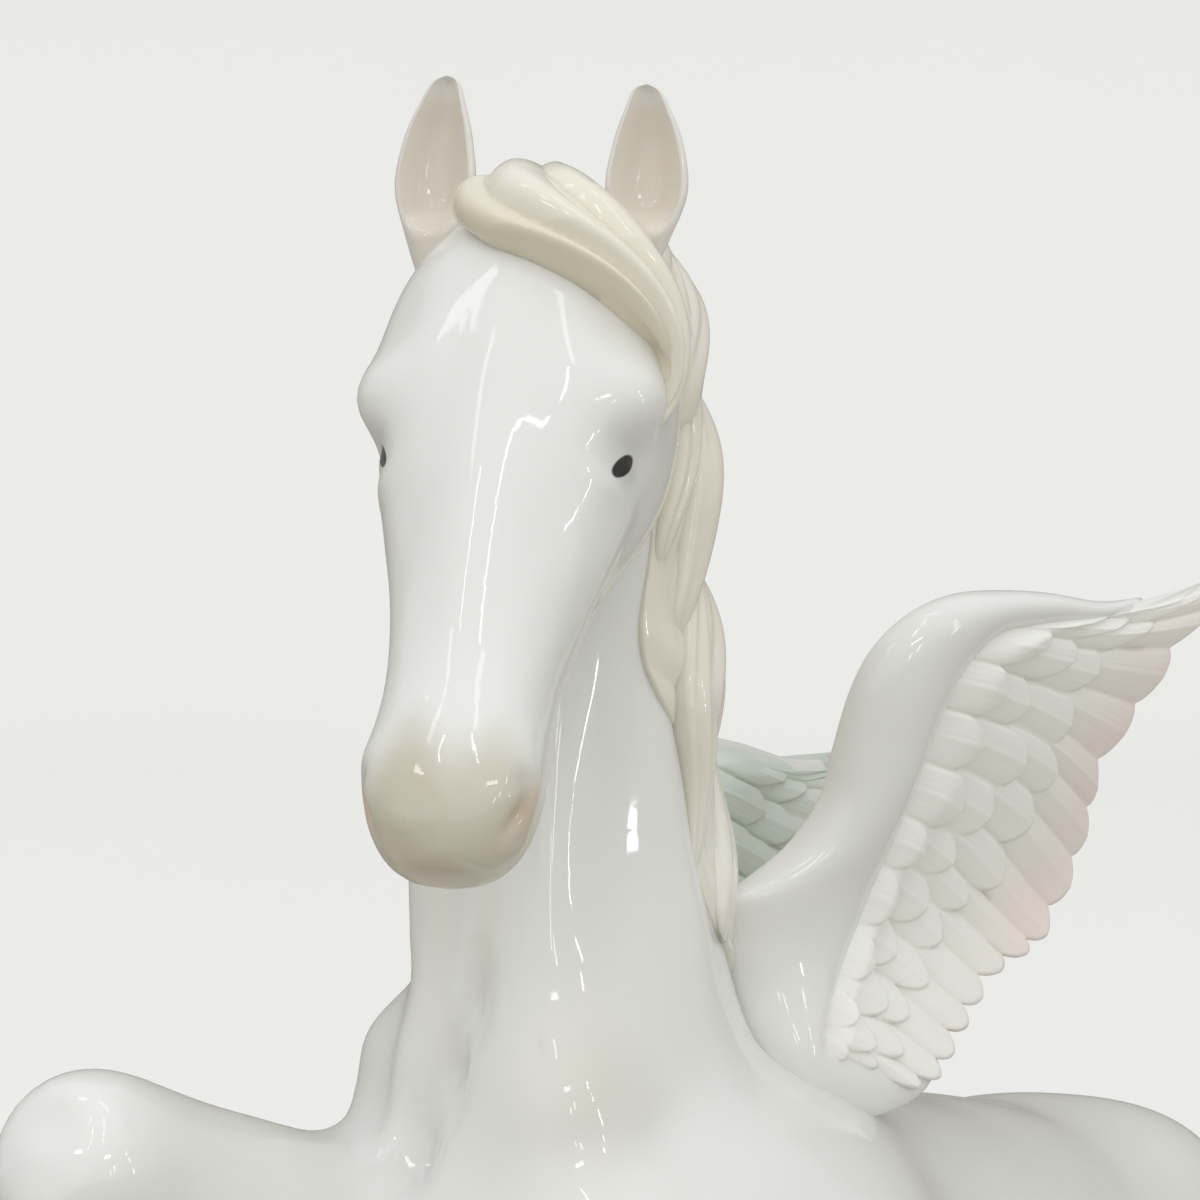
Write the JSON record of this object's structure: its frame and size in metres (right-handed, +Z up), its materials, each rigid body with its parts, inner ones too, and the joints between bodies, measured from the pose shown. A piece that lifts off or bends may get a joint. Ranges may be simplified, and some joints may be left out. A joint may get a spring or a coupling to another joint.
{
  "type": "pegasus figurine",
  "caption": "Rearing winged horse in glazed porcelain on an oval mound, with ivory mane, forelock and tail and matt feathered wings; a shelf ornament.",
  "frame": {"origin": "middle of the footprint of the whole figurine, on the surface it stands on", "axes": "+Z up, the horse looks along -Y, its left side is +X"},
  "size_m": [0.092, 0.2294, 0.2852],
  "materials": {
    "white_glaze": "glossy clear glaze over white porcelain",
    "ivory_glaze": "glossy ivory-tinted glaze",
    "bisque": "matt unglazed feathers with a glazed arm, tips tinted pink"
  },
  "bodies": {
    "root": {"base_mound": "white_glaze", "trunk": "white_glaze", "head_and_neck": "white_glaze", "right_foreleg": "white_glaze", "left_foreleg": "white_glaze", "right_hind_leg": "white_glaze", "left_hind_leg": "white_glaze", "tail": "ivory_glaze", "right_ear": "white_glaze", "left_ear": "white_glaze", "mane": "ivory_glaze", "forelock": "ivory_glaze", "right_wing": "bisque", "left_wing": "bisque"}
  },
  "joints": []
}
